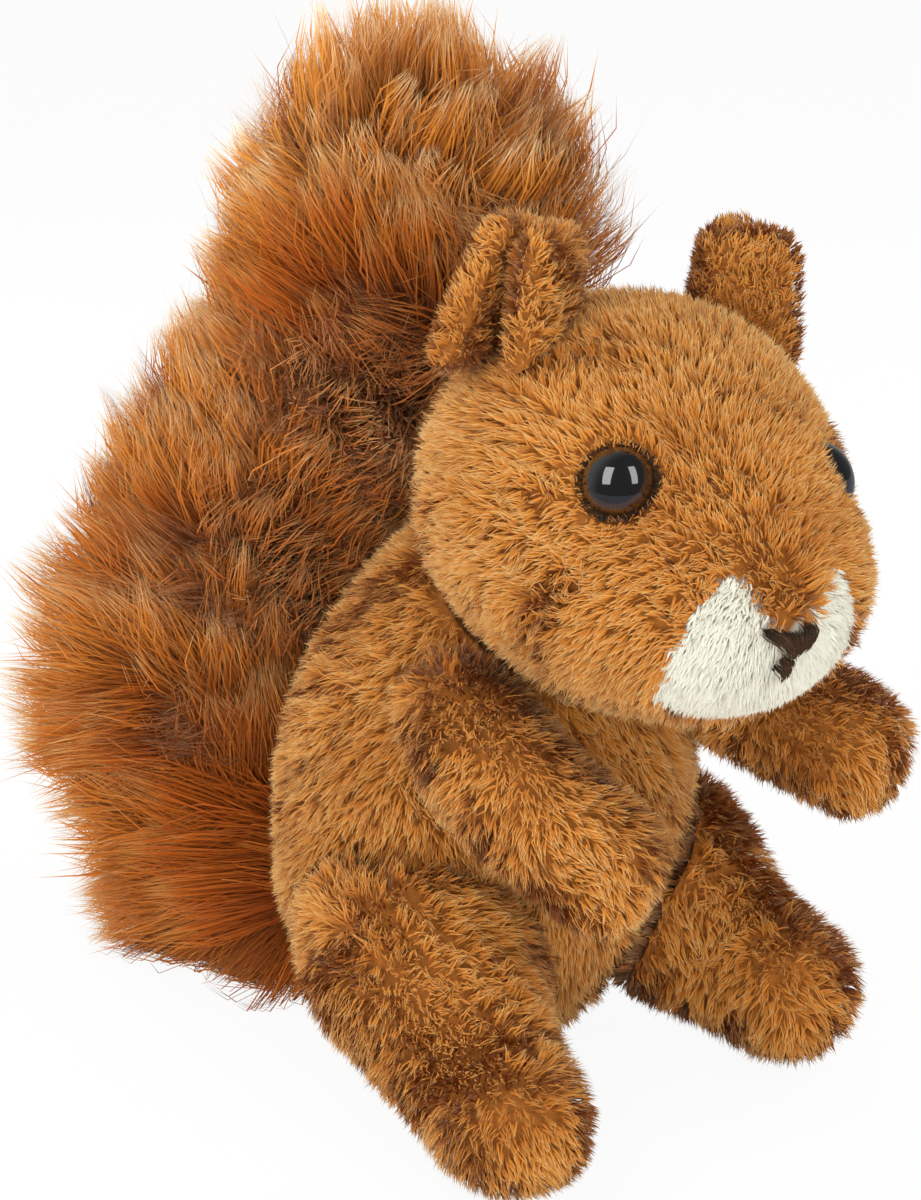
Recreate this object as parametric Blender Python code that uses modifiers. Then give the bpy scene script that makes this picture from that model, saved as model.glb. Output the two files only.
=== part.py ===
"""A sitting plush squirrel, about 15 cm tall to the tip of its bushy tail.

Metres, +Z up. The toy faces -Y, with its right side at -X. It sits on the pressed flat
under its body, with the origin on that flat, below the middle of the body. Each stuffed
piece is a closed solid with the outline of its pile, and its neighbours are sewn on
across a narrow seam. The eyes are plastic domes on shanks, locked by washers inside the
head.
"""

import math
import random

import bmesh
import bpy
from mathutils import Euler, Matrix, Vector

# Clearances
SEAM = 0.0003  # between two pieces that are sewn or pressed together
FLOOR = 0.0  # the height of what the toy sits on

# Body
BODY_WIDTH = 0.061
BODY_DEPTH = 0.058
BODY_HEIGHT = 0.086
BODY_LEAN = 0.009  # how far the neck stands in front of the seat
SEAT_SINK = 0.006  # how much of the round bottom is pressed flat
BELLY_SWELLING = 0.08  # as a share of the body's radius

# Head
HEAD_WIDTH = 0.056
HEAD_DEPTH = 0.055
HEAD_HEIGHT = 0.052
NECK_FORWARD = 0.020  # from the top of the body to the middle of the head
NECK_ASIDE = 0.0025
NECK_RISE = 0.0040
HEAD_TURN = math.radians(-5)
HEAD_TILT = math.radians(7)
MUZZLE_SWELLING = 0.46  # as a share of the head's radius
CHEEK_SWELLING = 0.07
LIP_SWELLING = 0.05

# White panels of the muzzle
PANEL_THICKNESS = 0.0040
PANEL_WIDTH = 0.0134
PANEL_HEIGHT = 0.0220
PANEL_DROP = 0.0245  # from the middle of the head down to the panels' lower edge

# Eyes
EYE_RADIUS = 0.0050
EYE_DOME = 0.0036  # from the flat back to the top of the dome
EYE_SINK = 0.0022  # how deep the flat back lies in the pile
EYE_ANGLE = math.radians(39)  # from straight ahead to each eye
EYE_LIFT = math.radians(16)
SHANK_RADIUS = 0.0014
SHANK_LENGTH = 0.0080
WASHER_RADIUS = 0.0050
WASHER_THICKNESS = 0.0012
WASHER_DEPTH = 0.0045  # from the eye's flat back to the washer

# Stitched nose and mouth
NOSE_WIDTH = 0.0070
NOSE_HEIGHT = 0.0040
NOSE_THICKNESS = 0.0030
NOSE_DROP = math.radians(15)  # from straight ahead down to the nose
MOUTH_DROP = math.radians(9)  # from the nose down to the end of the mouth
MOUTH_RADIUS = 0.0009

# Ears
EAR_HEIGHT = 0.0158
EAR_SINK = 0.005  # how far the leaf runs on into the head
EAR_THICKNESS = 0.0046
EAR_FOLD_RADIUS = 0.0048  # of the closed side of the folded leaf
EAR_FRONT_REACH = 0.0085  # from the fold to the open edge in front
EAR_REAR_REACH = 0.0130  # from the fold to the open edge behind
EAR_FRONT_TAPER = 0.2  # how much of the reach is lost at the tip of the ear
EAR_REAR_TAPER = 0.75
EAR_FOLD_TAPER = 0.25
EAR_ROUNDING = 0.0045  # how far the leaf's upper corners drop
EAR_ANGLE = math.radians(37)  # from the top of the head to each ear
EAR_BACK = math.radians(8)
EAR_OPENING = math.radians(18)  # from straight aside forward to where the ear opens

# Arms and legs
ARM_RADIUS = 0.0098
PAW_RADIUS = 0.0107
ARM_RADII = (ARM_RADIUS, ARM_RADIUS, PAW_RADIUS)
HAUNCH_RADIUS = 0.0190
KNEE_WIDTH = 0.0180
HIP_WIDTH = 0.0152
FOOT_RADIUS = 0.0118
SOLE_WIDTH = 0.0127
SHOULDERS = {"arm_right": (-0.66, -0.55, 0.57), "arm_left": (0.59, -0.48, 0.48)}  # body shares
HIPS = {"leg_right": (-0.46, 0.14, -0.37), "leg_left": (0.46, 0.14, -0.37)}
ARM_WAYS = {  # from the shoulder to the elbow and to the paw
    "arm_right": ((-0.0005, -0.018, -0.012), (0.011, -0.033, -0.027)),
    "arm_left": ((0.009, -0.020, -0.007), (0.014, -0.039, -0.013)),
}
LEG_WAYS = {  # from the hip to the knee, the ankle and the foot
    "leg_right": ((-0.007, -0.018, 0.001), (-0.013, -0.040, -0.009), (-0.018, -0.0605, -0.011)),
    "leg_left": ((0.007, -0.014, 0.001), (0.013, -0.032, -0.009), (0.0165, -0.0495, -0.011)),
}

# Tail
TAIL_RADIUS = 0.0225  # of the bush, without its loose locks
TAIL_ROOT = (-0.13, 0.76, -0.61)  # as shares of the body's half sizes
TAIL_WAYS = (  # from the root to the points that the bush runs through
    (-0.002, 0.023, 0.008),
    (0.000, 0.033, 0.031),
    (0.003, 0.023, 0.056),
    (0.006, 0.006, 0.078),
    (0.008, -0.002, 0.098),
    (0.009, -0.003, 0.121),
)
TAIL_WIDTHS = (0.70, 1.10, 1.25, 1.00, 1.00, 1.20, 0.90)  # as shares of the radius
TAIL_DEPTHS = (0.65, 0.90, 0.95, 0.85, 0.90, 1.10, 0.85)
TAIL_TWIST = math.radians(50)  # so that the locks don't stand in straight rows
LOCK_LENGTH = 0.0095
LOCK_SPREAD = 0.25  # how far a lock may lean aside, as a share of the width of its base
LOCK_COMB = 0.25  # how far a lock leans towards the tip of the tail
LOCK_MARGIN = 0.004  # locks end where the head or the body presses on the tail
LOCK_LIFT = 0.002  # from the floor up to the lowest tips

# Fineness of the meshes
BALL_SIDES = 32
BALL_RINGS = 20
LIMB_SIDES = 18
LIMB_RINGS = 14
TAIL_SIDES = 24
TAIL_RINGS = 36
STITCH_SIDES = 12
STITCH_RINGS = 8
OUTLINE_SIDES = 28

# Colours, as linear values
BROWN = (0.50, 0.20, 0.045, 1)
TAIL_BROWN = (0.42, 0.16, 0.035, 1)
CREAM = (0.80, 0.77, 0.68, 1)
EYE_BROWN = (0.045, 0.018, 0.008, 1)
THREAD_BLACK = (0.02, 0.014, 0.011, 1)
WASHER_WHITE = (0.75, 0.75, 0.72, 1)

SIDES = {"right": -1, "left": 1}


def new_collection(name):
    collection = bpy.data.collections.new(name)
    bpy.context.scene.collection.children.link(collection)
    return collection


def new_material(name, colour, roughness):
    material = bpy.data.materials.new(name)
    material.use_nodes = True
    shader = material.node_tree.nodes["Principled BSDF"]
    shader.inputs["Base Color"].default_value = colour
    shader.inputs["Roughness"].default_value = roughness
    shader.inputs["Metallic"].default_value = 0.0
    return material


def new_object(name, make, material=None, swell=0.0):
    """An object whose mesh is what make(built) models, moved outwards by swell.

    Without a material it is a cutter.
    """
    built = bmesh.new()
    make(built)
    bmesh.ops.recalc_face_normals(built, faces=built.faces)
    if built.calc_volume(signed=True) < 0:
        bmesh.ops.reverse_faces(built, faces=built.faces)
    built.normal_update()
    outwards = {vertex: vertex.normal.copy() for vertex in built.verts}
    for vertex, normal in outwards.items():
        vertex.co += normal * swell
    mesh = bpy.data.meshes.new(name)
    built.to_mesh(mesh)
    built.free()
    obj = bpy.data.objects.new(name, mesh)
    if material:
        mesh.shade_smooth()
        mesh.set_sharp_from_angle(angle=math.radians(50))
        mesh.materials.append(material)
        TOY.objects.link(obj)
    else:
        obj.hide_render = True
        obj.display_type = "WIRE"
        CUTTERS.objects.link(obj)
    return obj


def boolean(obj, operation, *others):
    for other in others:
        modifier = obj.modifiers.new(f"{operation.lower()}_{other.name}", "BOOLEAN")
        modifier.operation = operation
        modifier.object = other
        modifier.solver = "EXACT"


def spline(keys, t):
    """The value at t, from 0 to 1, on a smooth curve through the keys."""
    spans = len(keys) - 1
    i = min(int(t * spans), spans - 1)
    u = t * spans - i
    before, start, end, after = keys[max(i - 1, 0)], keys[i], keys[i + 1], keys[min(i + 2, spans)]
    straight = end - before
    bend = 2 * before - 5 * start + 4 * end - after
    twist = 3 * start - before - 3 * end + after
    return 0.5 * (2 * start + straight * u + bend * u**2 + twist * u**3)


class Ball:
    """A stuffed ball: an ellipsoid in a pose, with soft swellings and a lean."""

    def __init__(self, half_sizes, pose, swellings=(), lean=0.0, sides=BALL_SIDES, rings=BALL_RINGS):
        self.half_sizes = Vector(half_sizes)
        self.pose = pose
        self.swellings = [(Vector(d).normalized(), width, share) for d, width, share in swellings]
        self.lean = lean
        self.sides = sides
        self.rings = rings

    def reach(self, direction):
        """How far the surface lies along a direction, as a share of the ellipsoid's radius."""
        return 1 + sum(
            share * math.exp(-((direction.angle(centre) / width) ** 2))
            for centre, width, share in self.swellings
        )

    def point(self, direction):
        """The surface point along a direction of the ball's own frame."""
        direction = Vector(direction).normalized()
        local = direction * self.half_sizes * self.reach(direction)
        local.y -= self.lean * local.z / self.half_sizes.z
        place = self.pose @ local
        place.z = max(place.z, FLOOR)
        return place

    def outward(self, direction):
        """The surface normal along a direction, from two neighbouring points."""
        direction = Vector(direction).normalized()
        aside = direction.orthogonal().normalized() * 0.02
        here = self.point(direction)
        first = self.point(direction + aside) - here
        second = self.point(direction + direction.cross(aside)) - here
        normal = first.cross(second).normalized()
        return normal if normal.dot(here - self.pose.translation) > 0 else -normal

    def clears(self, place, margin):
        """Whether a place lies further than the margin outside the ball."""
        local = self.pose.inverted() @ place
        local.y += self.lean * local.z / self.half_sizes.z
        direction = Vector(a / b for a, b in zip(local, self.half_sizes))
        return direction.length > self.reach(direction) + margin / min(self.half_sizes)

    def shape(self, built):
        bmesh.ops.create_uvsphere(built, u_segments=self.sides, v_segments=self.rings, radius=1)
        for vertex in built.verts:
            vertex.co = self.point(vertex.co)


class Limb:
    """A stuffed tube with round ends, along a smooth curve through its points."""

    def __init__(self, points, widths, thicknesses, blunt=4, sides=LIMB_SIDES, rings=LIMB_RINGS):
        self.points = [Vector(p) for p in points]
        self.widths = widths
        self.thicknesses = thicknesses
        self.blunt = blunt
        self.sides = sides
        self.rings = rings

    def along(self, t):
        step = 0.01
        return (spline(self.points, min(t + step, 1)) - spline(self.points, max(t - step, 0))).normalized()

    def place(self, t, around):
        """The surface point at t along the tube, where around is a 2D direction across it."""
        along = self.along(t)
        across = (Vector((1, 0, 0)) - along * along.x).normalized()
        round_end = math.sqrt(max(1 - abs(2 * t - 1) ** self.blunt, 0))
        sideways = across * around.x * spline(self.widths, t)
        upwards = along.cross(across) * around.y * spline(self.thicknesses, t)
        place = spline(self.points, t) + (sideways + upwards) * round_end
        place.z = max(place.z, FLOOR)
        return place

    def bend(self, built):
        """Draws a unit sphere out along the curve, pole to pole."""
        for vertex in built.verts:
            around = vertex.co.xy
            around = around.normalized() if around.length > 0.001 else around * 0
            vertex.co = self.place(min(max((1 + vertex.co.z) / 2, 0), 1), around)

    def shape(self, built):
        bmesh.ops.create_uvsphere(built, u_segments=self.sides, v_segments=self.rings, radius=1)
        self.bend(built)


def sew(name, form, material, *against):
    """A stuffed piece that meets the forms it is sewn against across a seam."""
    piece = new_object(name, form.shape, material)
    for index, other in enumerate(against):
        boolean(piece, "DIFFERENCE", new_object(f"{name}_seat_{index}", other.shape, swell=SEAM))
    return piece


def from_body(root, ways):
    """The points of a limb: its root, in shares of the body's half sizes, and its ways from there."""
    root = BODY.pose @ (Vector(root) * BODY.half_sizes)
    return [root, *(root + Vector(way) for way in ways)]


def head_direction(turn, lift):
    """A direction in the head's frame, turned from straight ahead to its left and then up."""
    return Vector((math.sin(turn) * math.cos(lift), -math.cos(turn) * math.cos(lift), math.sin(lift)))


def facing(place, outward, up=(0, 0, 1)):
    """A pose at a place whose -Y looks outwards."""
    back = -Vector(outward).normalized()
    right = back.cross(Vector(up)).normalized()
    return Matrix.Translation(place) @ Matrix((right, back, right.cross(back))).transposed().to_4x4()


def lathe_pose(place, outward):
    """A pose at a place whose +Z looks outwards."""
    return Matrix.Translation(place) @ Vector(outward).to_track_quat("Z", "Y").to_matrix().to_4x4()


def muzzle_panel(name, side):
    """A white panel let into the muzzle, cut to its outline from the skin of the head."""
    outline = [
        Vector((0.06, 0.00)),
        Vector((0.50, 0.02)),
        Vector((0.92, 0.28)),
        Vector((0.98, 0.62)),
        Vector((0.62, 1.00)),
        Vector((0.34, 0.78)),
        Vector((0.06, 0.60)),
    ]

    def prism(built, margin=0.0):
        bmesh.ops.create_cone(
            built, segments=OUTLINE_SIDES, cap_ends=True, radius1=1, radius2=1, depth=HEAD_DEPTH
        )
        middle = sum(outline, Vector((0, 0))) / len(outline)
        for vertex in built.verts:
            t = (math.atan2(vertex.co.y, vertex.co.x) / math.tau) % 1.0
            edge = spline(outline + outline[:1], t)
            edge = Vector((edge.x * PANEL_WIDTH, edge.y * PANEL_HEIGHT - PANEL_DROP))
            centre = Vector((middle.x * PANEL_WIDTH, middle.y * PANEL_HEIGHT - PANEL_DROP))
            edge += (edge - centre).normalized() * margin
            edge.x = max(edge.x, SEAM / 2)
            local = Vector((side * edge.x, vertex.co.z - HEAD_DEPTH, edge.y))
            vertex.co = HEAD.pose @ local

    panel = new_object(name, HEAD.shape, WHITE_PLUSH)
    boolean(panel, "INTERSECT", new_object(f"{name}_outline", prism))
    boolean(panel, "DIFFERENCE", new_object(f"{name}_back", HEAD.shape, swell=-PANEL_THICKNESS))
    pocket = new_object(f"{name}_pocket", lambda built: prism(built, SEAM))
    floor = new_object(f"{name}_pocket_floor", HEAD.shape, swell=-PANEL_THICKNESS - SEAM)
    boolean(pocket, "DIFFERENCE", floor)
    boolean(head, "DIFFERENCE", pocket)


def eye(name, side):
    """A domed plastic eye on its shank, and the washer that locks it inside the head."""
    direction = head_direction(side * EYE_ANGLE, EYE_LIFT)
    outward = HEAD.outward(direction)
    pose = lathe_pose(HEAD.point(direction) - outward * EYE_SINK, outward)

    def dome(built, margin=0.0):
        bmesh.ops.create_uvsphere(built, u_segments=24, v_segments=12, radius=1)
        for vertex in built.verts:
            flat = EYE_DOME + margin if vertex.co.z > 0 else EYE_SINK / 3 + margin
            radius = EYE_RADIUS + margin
            vertex.co = pose @ Vector((vertex.co.x * radius, vertex.co.y * radius, vertex.co.z * flat))

    def shank(built, margin=0.0):
        rod(built, SHANK_RADIUS + margin, -SHANK_LENGTH - margin, EYE_DOME / 2)

    def washer(built, margin=0.0):
        rod(built, WASHER_RADIUS + margin, -WASHER_DEPTH - WASHER_THICKNESS - margin, margin - WASHER_DEPTH)

    def rod(built, radius, low, high):
        bmesh.ops.create_cone(
            built, segments=16, cap_ends=True, radius1=radius, radius2=radius, depth=high - low
        )
        for vertex in built.verts:
            vertex.co = pose @ (vertex.co + Vector((0, 0, (high + low) / 2)))

    button = new_object(name, dome, EYE_PLASTIC)
    boolean(button, "UNION", new_object(f"{name}_shank", shank))
    lock = new_object(name.replace("eye", "eye_washer"), washer, WASHER_PLASTIC)
    hole = new_object(f"{name}_shank_hole", lambda built: shank(built, SEAM))
    boolean(lock, "DIFFERENCE", hole)
    for part, make in (("socket", dome), ("pocket", washer)):
        boolean(head, "DIFFERENCE", new_object(f"{name}_{part}", lambda built: make(built, SEAM)))
    boolean(head, "DIFFERENCE", hole)


def ear(name, side):
    """A leaf of plush folded lengthwise, closed towards the crown and open outwards."""
    direction = Vector((side * math.sin(EAR_ANGLE), math.sin(EAR_BACK), math.cos(EAR_ANGLE)))
    base = Matrix.Translation(HEAD.point(direction)) @ HEAD.pose.to_3x3().to_4x4()

    turn = Matrix.Rotation(-side * EAR_OPENING, 4, "Z")

    def leaf(built):
        bmesh.ops.create_grid(built, x_segments=8, y_segments=5, size=1)
        for vertex in built.verts:
            up = (vertex.co.y + 1) / 2
            front = EAR_FRONT_REACH * (1 - EAR_FRONT_TAPER * up**2)
            rear = EAR_REAR_REACH * (1 - EAR_REAR_TAPER * up**1.5)
            radius = EAR_FOLD_RADIUS * (1 - EAR_FOLD_TAPER * up**2)
            length = abs(vertex.co.x) * (radius * math.pi / 2 + (front if vertex.co.x < 0 else rear))
            bend = min(length / radius, math.pi / 2)
            outwards = length - radius * bend - radius * math.cos(bend)
            backwards = math.copysign(radius * math.sin(bend), vertex.co.x)
            height = up * (EAR_HEIGHT + EAR_SINK) - EAR_SINK
            height -= EAR_ROUNDING * up * (outwards / EAR_FRONT_REACH - 0.2) ** 2
            vertex.co = base @ turn @ Vector((side * outwards, backwards, height))

    piece = new_object(name, leaf, PLUSH)
    wall = piece.modifiers.new("wall", "SOLIDIFY")
    wall.thickness = EAR_THICKNESS
    wall.offset = 0
    smooth = piece.modifiers.new("smooth", "SUBSURF")
    smooth.levels = 1
    smooth.render_levels = 1
    boolean(piece, "DIFFERENCE", new_object(f"{name}_seat", HEAD.shape, swell=SEAM))


def bush(built):
    """The tail's bush, its surface drawn out into pointed locks where nothing presses on it.

    Locks near the floor lie along it.
    """
    shuffle = random.Random(7)
    bmesh.ops.create_uvsphere(built, u_segments=TAIL_SIDES, v_segments=TAIL_RINGS, radius=1)
    progress = {vertex: (1 + vertex.co.z) / 2 for vertex in built.verts}
    for vertex in built.verts:
        vertex.co.rotate(Euler((0, 0, TAIL_TWIST * vertex.co.z)))
    TAIL.bend(built)
    bmesh.ops.recalc_face_normals(built, faces=built.faces)
    built.normal_update()
    ways = {}
    for face in sorted(built.faces, key=lambda face: tuple(face.calc_center_median())):
        middle = face.calc_center_median()
        t = sum(progress[vertex] for vertex in face.verts) / len(face.verts)
        way = (face.normal + TAIL.along(t) * LOCK_COMB) * LOCK_LENGTH * shuffle.uniform(0.7, 1.15)
        width = math.sqrt(face.calc_area())
        way += Vector(shuffle.uniform(-1, 1) for _ in range(3)) * LOCK_SPREAD * width
        way.z = max(way.z, FLOOR + LOCK_LIFT - middle.z)
        pressed = not all(form.clears(middle, LOCK_LENGTH + LOCK_MARGIN) for form in (BODY, HEAD))
        if not pressed and way.dot(face.normal) > LOCK_LENGTH / 2:
            ways[face] = way
    for face, way in ways.items():
        tip = bmesh.ops.poke(built, faces=[face])["verts"][0]
        tip.co += way


for leftover in list(bpy.data.objects):
    bpy.data.objects.remove(leftover)
TOY = new_collection("plush_squirrel")
CUTTERS = new_collection("cutters")

PLUSH = new_material("brown_plush", BROWN, 0.95)
LONG_PLUSH = new_material("tail_plush", TAIL_BROWN, 0.85)
WHITE_PLUSH = new_material("white_plush", CREAM, 0.95)
EYE_PLASTIC = new_material("eye_plastic", EYE_BROWN, 0.08)
THREAD = new_material("stitching", THREAD_BLACK, 0.7)
WASHER_PLASTIC = new_material("washer_plastic", WASHER_WHITE, 0.5)

BODY = Ball(
    (BODY_WIDTH / 2, BODY_DEPTH / 2, (BODY_HEIGHT + SEAT_SINK) / 2),
    Matrix.Translation((0, 0, FLOOR + (BODY_HEIGHT - SEAT_SINK) / 2)),
    swellings=[((0, -1, -0.15), math.radians(50), BELLY_SWELLING)],
    lean=BODY_LEAN,
)
HEAD = Ball(
    (HEAD_WIDTH / 2, HEAD_DEPTH / 2, HEAD_HEIGHT / 2),
    Matrix.Translation((NECK_ASIDE, -BODY_LEAN - NECK_FORWARD, FLOOR + BODY_HEIGHT + NECK_RISE))
    @ Euler((0, HEAD_TILT, HEAD_TURN)).to_matrix().to_4x4(),
    swellings=[
        (head_direction(0, math.radians(-21)), math.radians(37), MUZZLE_SWELLING),
        (head_direction(math.radians(-55), math.radians(-22)), math.radians(30), CHEEK_SWELLING),
        (head_direction(math.radians(55), math.radians(-22)), math.radians(30), CHEEK_SWELLING),
        (head_direction(math.radians(-32), math.radians(-20)), math.radians(26), LIP_SWELLING),
        (head_direction(math.radians(32), math.radians(-20)), math.radians(26), LIP_SWELLING),
    ],
)
ARMS = {
    name: Limb(from_body(root, ARM_WAYS[name]), ARM_RADII, ARM_RADII)
    for name, root in SHOULDERS.items()
}
LEGS = {
    name: Limb(
        from_body(root, LEG_WAYS[name]),
        (HIP_WIDTH, KNEE_WIDTH, FOOT_RADIUS, SOLE_WIDTH),
        (HAUNCH_RADIUS, HAUNCH_RADIUS, FOOT_RADIUS, FOOT_RADIUS),
    )
    for name, root in HIPS.items()
}
TAIL = Limb(
    from_body(TAIL_ROOT, TAIL_WAYS),
    [TAIL_RADIUS * share for share in TAIL_WIDTHS],
    [TAIL_RADIUS * share for share in TAIL_DEPTHS],
)

head = new_object("head", HEAD.shape, PLUSH)
sew("body", BODY, PLUSH, HEAD)
for name, limb in ARMS.items():
    sew(name, limb, PLUSH, BODY, HEAD)
for name, limb in LEGS.items():
    sew(name, limb, PLUSH, BODY)

tail = new_object("tail", bush, LONG_PLUSH)
for index, form in enumerate((BODY, HEAD, *LEGS.values())):
    boolean(tail, "DIFFERENCE", new_object(f"tail_seat_{index}", form.shape, swell=SEAM))

for word, side in SIDES.items():
    muzzle_panel(f"muzzle_{word}", side)
    eye(f"eye_{word}", side)
    ear(f"ear_{word}", side)

nose_direction = head_direction(0, -NOSE_DROP)
nose = Ball(
    (NOSE_WIDTH / 2, NOSE_THICKNESS / 2, NOSE_HEIGHT / 2),
    facing(HEAD.point(nose_direction), HEAD.outward(nose_direction)),
    swellings=[
        ((1, 0, 1), math.radians(35), 0.25),
        ((-1, 0, 1), math.radians(35), 0.25),
    ],
    sides=STITCH_SIDES,
    rings=STITCH_RINGS,
)
sew("nose", nose, THREAD, HEAD)
mouth_end = head_direction(math.radians(-3), -NOSE_DROP - MOUTH_DROP)
mouth_start = head_direction(0, -NOSE_DROP - MOUTH_DROP * 0.35)
mouth = Limb(
    [HEAD.point(mouth_start), HEAD.point((mouth_start + mouth_end) / 2), HEAD.point(mouth_end)],
    (MOUTH_RADIUS,) * 3,
    (MOUTH_RADIUS,) * 3,
    sides=STITCH_SIDES,
    rings=STITCH_RINGS,
)
sew("mouth_stitch", mouth, THREAD, HEAD, nose)
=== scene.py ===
"""Dresses the sitting plush squirrel: stuffed skins, short pile, the tail's long pile, eyes and stitching.

Metres, +Z up. The toy faces -Y, with its right side at -X. Every piece is made where the
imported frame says, and each strand of pile is a fine bent ribbon that grows from a skin.
"""

import math

import bmesh
import bpy
import numpy as np
from bpy.props import FloatProperty, FloatVectorProperty, IntProperty, PointerProperty
from mathutils import Matrix, Vector
from mathutils.bvhtree import BVHTree


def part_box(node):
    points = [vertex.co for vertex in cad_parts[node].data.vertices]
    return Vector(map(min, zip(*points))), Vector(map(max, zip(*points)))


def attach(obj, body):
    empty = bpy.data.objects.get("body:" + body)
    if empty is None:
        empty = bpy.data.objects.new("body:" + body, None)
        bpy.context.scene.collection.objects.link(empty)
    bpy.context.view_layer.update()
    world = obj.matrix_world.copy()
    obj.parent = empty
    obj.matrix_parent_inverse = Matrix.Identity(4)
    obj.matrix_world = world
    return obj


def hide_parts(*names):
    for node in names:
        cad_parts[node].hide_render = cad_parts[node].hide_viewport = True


bl_info = {
    "name": "Plush squirrel dressing",
    "version": (1, 0, 0),
    "blender": (4, 5, 0),
    "location": "View3D > Sidebar > Plush squirrel",
    "description": "Grows the pile of a plush squirrel and adds its eyes, stitching and studio",
    "category": "Object",
}

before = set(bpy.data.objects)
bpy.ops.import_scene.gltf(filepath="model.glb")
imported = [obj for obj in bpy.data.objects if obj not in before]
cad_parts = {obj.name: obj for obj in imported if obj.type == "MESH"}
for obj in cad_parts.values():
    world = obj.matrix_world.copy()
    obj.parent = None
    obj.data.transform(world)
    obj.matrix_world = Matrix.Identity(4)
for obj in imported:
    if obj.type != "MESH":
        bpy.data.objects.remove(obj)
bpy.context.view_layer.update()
ROOT = "root"
MILLIMETRE = 0.001
CLEARANCE = 0.3 * MILLIMETRE  # between a strand and the skin of a neighbour
SIDES = ("left", "right")
DOWN = np.array([0.0, 0.0, -1.0])
LEVEL = np.array([1.0, 1.0, 0.0])  # times a vector, leaves its level part

# Pieces with short pile: the nodes they stand for, how deep the skin lies and how wide its voxels
# are in millimetres, its smoothing, and how long and dense the pile is beside that of the body
STUFFED = {
    "body": {"nodes": ["body"], "depth": 2.2, "voxel": 1.9, "smooth": 4, "length": 1.0, "density": 0.97},
    "head": {
        "nodes": ["head", "muzzle_left", "muzzle_right"],
        "depth": 2.0,
        "voxel": 1.5,
        "smooth": 4,
        "length": 0.95,
        "density": 1.25,
    },
}
LIMBS = {
    "arm": {"depth": 2.0, "voxel": 1.3, "smooth": 3, "length": 0.95, "density": 1.1},
    "leg": {"depth": 2.2, "voxel": 1.6, "smooth": 4, "length": 1.0, "density": 1.0},
    "ear": {"depth": 0.7, "voxel": 0.65, "smooth": 2, "length": 0.62, "density": 1.7},
}
LIMB_PAIRS = {f"{limb}_{side}": kind for limb, kind in LIMBS.items() for side in SIDES}
STUFFED.update({name: {"nodes": [name], **kind} for name, kind in LIMB_PAIRS.items()})
# The tail's route, as shares of its node's box, with its core's radius along it in millimetres
TAIL_ROUTE = [
    (0.48, 0.320, 0.085),
    (0.45, 0.560, 0.130),
    (0.47, 0.660, 0.290),
    (0.51, 0.560, 0.470),
    (0.55, 0.390, 0.630),
    (0.57, 0.310, 0.765),
    (0.58, 0.310, 0.890),
]
TAIL_CORE = [8.5, 14.0, 15.8, 13.8, 13.2, 14.2, 10.4]
# The least height of strands above the floor
SHORT_PILE_LIFT = 0.2 * MILLIMETRE
TAIL_PILE_LIFT = 0.6 * MILLIMETRE
# What the short pile does where the skin of another piece is near: the gaps between them, in metres
NEAR_GAP = 0.009  # a wider gap has no effect
BARE_GAP = 0.0010  # no tuft grows in a narrower one
THIN_GAPS = (0.0020, 0.0034)  # tufts thin out
SHORT_GAPS = (0.0025, 0.0050)  # tufts get shorter
PAINTED_SHADE_GAPS = (0.0030, 0.0075)  # painted shade in the creases between parts: tufts get darker
TIGHT_GAP = 0.0055  # strands are pushed out of the other skin
# Around an eye's rim: where the pile starts, and how far it is shorter and combed away, in metres
EYE_RIM = 0.0001
EYE_REACH = 0.003
# How soft the light on pile is: 0 lights each strand by its own normals, 1 by the way out of the pile
BROWN_SOFTNESS = 0.70
WHITE_SOFTNESS = 0.90
TAIL_SOFTNESS = 0.15
FIBRE_SOFTNESS = 0.30
THREAD_SOFTNESS = 0.10


def unit(vectors):
    return vectors / np.maximum(np.linalg.norm(vectors, axis=-1, keepdims=True), 1e-9)


def dot(a, b):
    return (a * b).sum(-1, keepdims=True)


def smoothstep(values, low, high):
    share = np.clip((values - low) / (high - low), 0, 1)
    return share * share * (3 - 2 * share)


def within(points, low, high, margin):
    """Which points lie in a box that is made wider by a margin on all sides."""
    return (points > low - margin).all(-1) & (points < high + margin).all(-1)


def read_vectors(rows, name="co"):
    """The vectors of a mesh's vertices or of its normals."""
    vectors = np.empty(len(rows) * 3, np.float32)
    rows.foreach_get(name, vectors)
    return vectors.reshape(-1, 3).astype(float)


def points_of(node):
    return read_vectors(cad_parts[node].data.vertices)


def middle_of(node):
    """The middle of a node's points."""
    return points_of(node).mean(0)


def box_of(node):
    """The low and the high corner of a node's box."""
    low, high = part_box(node)
    return np.array(low), np.array(high)


class Swirl:
    """A smooth random field of vectors with about unit length."""

    def __init__(self, seed, wavelength, waves=9):
        rng = np.random.default_rng(seed)
        ways = unit(rng.normal(size=(waves, 3)))
        self.waves = ways * rng.uniform(0.6, 1.5, (waves, 1)) * math.tau / wavelength
        self.phases = rng.uniform(0, math.tau, waves)
        self.ways = rng.normal(size=(waves, 3)) / math.sqrt(waves / 2)

    def __call__(self, points):
        return np.sin(points @ self.waves.T + self.phases) @ self.ways


class Wire:
    """The output of a node, which Python's operators turn into Math nodes."""

    def __init__(self, graph, socket):
        self.graph = graph
        self.socket = socket

    def math(self, operation, *values):
        return self.graph.node("ShaderNodeMath", {"operation": operation}, dict(enumerate(values)))

    def __mul__(self, other):
        return self.math("MULTIPLY", self, other)

    def __truediv__(self, other):
        return self.math("DIVIDE", self, other)

    def __rtruediv__(self, other):
        return self.math("DIVIDE", other, self)

    __rmul__ = __mul__

    def largest(self, other):
        return self.math("MAXIMUM", self, other)

    def step(self, low, high, start=0.0, end=1.0):
        """From start at low to end at high, smoothly."""
        sockets = {"Value": self, "From Min": low, "From Max": high, "To Min": start, "To Max": end}
        return self.graph.node("ShaderNodeMapRange", {"interpolation_type": "SMOOTHSTEP"}, sockets)


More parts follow.
